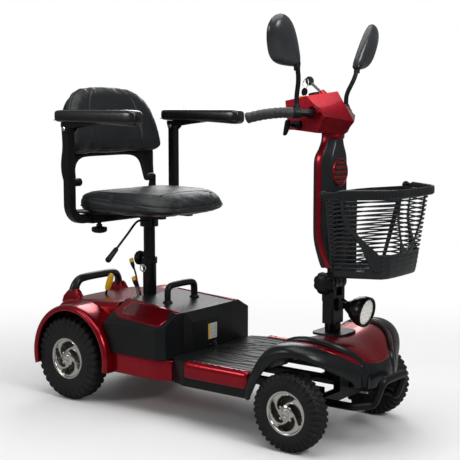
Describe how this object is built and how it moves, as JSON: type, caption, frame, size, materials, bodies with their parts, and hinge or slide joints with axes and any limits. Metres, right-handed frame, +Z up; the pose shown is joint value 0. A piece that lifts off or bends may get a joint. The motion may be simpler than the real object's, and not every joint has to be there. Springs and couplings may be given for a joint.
{
  "type": "mobility scooter",
  "caption": "Four-wheel mobility scooter with a folding tiller, swivel seat with flip-up armrests, lift-off battery box, slatted basket and two mirrors.",
  "frame": {"origin": "on the ground at the middle of the overall length, on the centre plane", "axes": "+X forward, +Y to the rider's left, +Z up"},
  "size_m": [1.144, 0.511, 1.0752],
  "materials": {
    "tyre": "chunky black tread rubber",
    "alloy": "polished cast alloy",
    "frame_black": "satin black powder coat",
    "steel": "machined zinc-plated steel",
    "bright_metal": "bright plated steel",
    "gear_case": "dark cast aluminium",
    "red_gloss": "deep candy red gloss",
    "black_plastic": "fine-textured dark grey plastic",
    "gloss_black": "gloss black plastic",
    "yellow_plastic": "yellow plastic",
    "seat_vinyl": "dark grey leather-look vinyl",
    "pad_skin": "smooth self-skinned foam",
    "grip_foam": "soft grey-black grip"
  },
  "bodies": {
    "chassis": {"rear_frame": "frame_black", "transaxle": "gear_case", "controller": "gear_case", "rear_cover": "red_gloss", "rear_handle": "black_plastic", "front_frame": "frame_black", "foot_deck": "black_plastic", "deck_trim": "red_gloss", "front_fairing": "black_plastic", "front_hood": "red_gloss", "bumper": "frame_black"},
    "freewheel": {"freewheel_lever": "yellow_plastic"},
    "battery": {"battery_box": "gloss_black", "battery_panels": "red_gloss", "battery_handle": "black_plastic", "battery_cells": "black_plastic"},
    "post": {"seat_post": "frame_black"},
    "clamp_knob": {"post_knob": "black_plastic"},
    "pin": {"height_pin": "bright_metal"},
    "seat": {"seat_pan": "frame_black", "seat_cushion": "seat_vinyl"},
    "swivel": {"swivel_lever": "frame_black"},
    "back": {"back_shell": "black_plastic", "back_cushion": "seat_vinyl"},
    "column": {"steer_column": "frame_black"},
    "hinge_knob": {"fold_knob": "gloss_black"},
    "lamp": {"headlight": "gloss_black"},
    "rod": {"tie_rod": "steel"},
    "tiller": {"tiller_stem": "frame_black", "tiller_cover_rear": "black_plastic", "tiller_trim": "red_gloss", "tiller_cover_front": "black_plastic", "head_cover": "red_gloss", "head_console": "red_gloss", "grips": "grip_foam", "mirror_arms": "black_plastic"},
    "dial": {"speed_dial": "black_plastic"},
    "horn": {"horn_button": "yellow_plastic"},
    "ignition": {"key": "black_plastic"},
    "throttle": {"throttle_lever": "gloss_black"},
    "basket": {"basket": "black_plastic"},
    "handle": {"basket_handle": "black_plastic"},
    "rear_wheel_r": {"rear_tyre_r": "tyre", "rear_rim_r": "alloy"},
    "front_wheel_r": {"front_tyre_r": "tyre", "front_rim_r": "alloy"},
    "steer_r": {"knuckle_r": "steel"},
    "arm_r": {"arm_tube_r": "frame_black"},
    "pad_r": {"arm_pad_r": "pad_skin"},
    "arm_clamp_r": {"arm_knob_r": "black_plastic"},
    "mirror_head_r": {"mirror_r": "gloss_black"},
    "rear_wheel_l": {"rear_tyre_l": "tyre", "rear_rim_l": "alloy"},
    "front_wheel_l": {"front_tyre_l": "tyre", "front_rim_l": "alloy"},
    "steer_l": {"knuckle_l": "steel"},
    "arm_l": {"arm_tube_l": "frame_black"},
    "pad_l": {"arm_pad_l": "pad_skin"},
    "arm_clamp_l": {"arm_knob_l": "black_plastic"},
    "mirror_head_l": {"mirror_l": "gloss_black"}
  },
  "joints": [
    {"name": "rear_spin_r", "type": "hinge", "parent": "chassis", "child": "rear_wheel_r", "pos_m": [-0.444, -0.188, 0.122], "axis": [0, 1, 0], "continuous": true},
    {"name": "rear_spin_l", "type": "hinge", "parent": "chassis", "child": "rear_wheel_l", "pos_m": [-0.444, 0.188, 0.122], "axis": [0, 1, 0], "continuous": true},
    {"name": "steering", "type": "hinge", "parent": "chassis", "child": "column", "pos_m": [0.327, 0, 0.2], "axis": [0, 0, 1], "range_deg": [-30, 30]},
    {"name": "knuckle_turn_r", "type": "hinge", "parent": "chassis", "child": "steer_r", "pos_m": [0.336, -0.158, 0.1], "axis": [0, 0, 1], "range_deg": [-32, 32]},
    {"name": "front_spin_r", "type": "hinge", "parent": "steer_r", "child": "front_wheel_r", "pos_m": [0.336, -0.209, 0.1], "axis": [0, 1, 0], "continuous": true},
    {"name": "knuckle_turn_l", "type": "hinge", "parent": "chassis", "child": "steer_l", "pos_m": [0.336, 0.158, 0.1], "axis": [0, 0, 1], "range_deg": [-32, 32]},
    {"name": "front_spin_l", "type": "hinge", "parent": "steer_l", "child": "front_wheel_l", "pos_m": [0.336, 0.209, 0.1], "axis": [0, 1, 0], "continuous": true},
    {"name": "tie_rod_pivot", "type": "hinge", "parent": "steer_l", "child": "rod", "pos_m": [0.276, 0.158, 0.131], "axis": [0, 0, 1], "range_deg": [-32, 32]},
    {"name": "fold_knob_turn", "type": "hinge", "parent": "column", "child": "hinge_knob", "pos_m": [0.328, -0.05, 0.399], "axis": [0, 1, 0], "continuous": true},
    {"name": "lamp_tilt", "type": "hinge", "parent": "column", "child": "lamp", "pos_m": [0.358, 0, 0.34], "axis": [0, 1, 0], "range_deg": [-12, 12]},
    {"name": "tiller_tilt", "type": "hinge", "parent": "column", "child": "tiller", "pos_m": [0.328, 0, 0.399], "axis": [0, -1, 0], "range_deg": [0, 30]},
    {"name": "speed_dial_turn", "type": "hinge", "parent": "tiller", "child": "dial", "pos_m": [0.25, 0.024, 0.87314], "axis": [-0.1903, 0, 0.9817], "range_deg": [0, 270]},
    {"name": "horn_press", "type": "slide", "parent": "tiller", "child": "horn", "axis": [0.1903, 0, -0.9817], "range_m": [0, 0.0025]},
    {"name": "key_turn", "type": "hinge", "parent": "tiller", "child": "ignition", "pos_m": [0.303, -0.022, 0.882], "axis": [-0.7828, 0, 0.6222], "range_deg": [0, 90]},
    {"name": "throttle_swing", "type": "hinge", "parent": "tiller", "child": "throttle", "pos_m": [0.25, 0, 0.805], "axis": [0, 0, 1], "range_deg": [-12, 12]},
    {"name": "mirror_tilt_r", "type": "hinge", "parent": "tiller", "child": "mirror_head_r", "pos_m": [0.305, -0.1435, 0.949], "axis": [0, 0, 1], "range_deg": [-20, 20]},
    {"name": "mirror_tilt_l", "type": "hinge", "parent": "tiller", "child": "mirror_head_l", "pos_m": [0.305, 0.1435, 0.949], "axis": [0, 0, 1], "range_deg": [-20, 20]},
    {"name": "basket_lift", "type": "slide", "parent": "tiller", "child": "basket", "axis": [0, 0, 1], "range_m": [0, 0.06]},
    {"name": "basket_handle_fold", "type": "hinge", "parent": "basket", "child": "handle", "pos_m": [0.424, 0, 0.643], "axis": [0, -1, 0], "range_deg": [0, 55]},
    {"name": "freewheel_throw", "type": "hinge", "parent": "chassis", "child": "freewheel", "pos_m": [-0.457, -0.04, 0.208], "axis": [0, -1, 0], "range_deg": [0, 20]},
    {"name": "battery_lift", "type": "slide", "parent": "chassis", "child": "battery", "axis": [0, 0, 1], "range_m": [0, 0.065]},
    {"name": "seat_height", "type": "slide", "parent": "chassis", "child": "post", "axis": [0, 0, 1], "range_m": [0, 0.075]},
    {"name": "clamp_knob_turn", "type": "hinge", "parent": "chassis", "child": "clamp_knob", "pos_m": [-0.33, 0, 0.402], "axis": [1, 0, 0], "continuous": true},
    {"name": "height_pin_pull", "type": "slide", "parent": "chassis", "child": "pin", "axis": [0, -1, 0], "range_m": [0, 0.02]},
    {"name": "seat_swivel", "type": "hinge", "parent": "post", "child": "seat", "pos_m": [-0.309, 0, 0.53], "axis": [0, 0, 1], "continuous": true},
    {"name": "swivel_release", "type": "hinge", "parent": "seat", "child": "swivel", "pos_m": [-0.267, -0.04, 0.514], "axis": [0, 1, 0], "range_deg": [0, 15]},
    {"name": "back_fold", "type": "hinge", "parent": "seat", "child": "back", "pos_m": [-0.447, 0, 0.632], "axis": [0, 1, 0], "range_deg": [0, 80]},
    {"name": "arm_width_r", "type": "slide", "parent": "seat", "child": "arm_r", "axis": [0, -1, 0], "range_m": [0, 0.05]},
    {"name": "arm_flip_r", "type": "hinge", "parent": "arm_r", "child": "pad_r", "pos_m": [-0.406, -0.228, 0.788], "axis": [0, -1, 0], "range_deg": [0, 90]},
    {"name": "arm_clamp_turn_r", "type": "hinge", "parent": "seat", "child": "arm_clamp_r", "pos_m": [-0.406, -0.11, 0.5], "axis": [0, 0, 1], "continuous": true},
    {"name": "arm_width_l", "type": "slide", "parent": "seat", "child": "arm_l", "axis": [0, 1, 0], "range_m": [0, 0.05]},
    {"name": "arm_flip_l", "type": "hinge", "parent": "arm_l", "child": "pad_l", "pos_m": [-0.406, 0.228, 0.788], "axis": [0, -1, 0], "range_deg": [0, 90]},
    {"name": "arm_clamp_turn_l", "type": "hinge", "parent": "seat", "child": "arm_clamp_l", "pos_m": [-0.406, 0.11, 0.5], "axis": [0, 0, 1], "continuous": true}
  ],
  "couplings": [
    {"joint": "knuckle_turn_r", "follows": "steering", "ratio": 1},
    {"joint": "knuckle_turn_l", "follows": "steering", "ratio": 1},
    {"joint": "tie_rod_pivot", "follows": "steering", "ratio": -1}
  ]
}
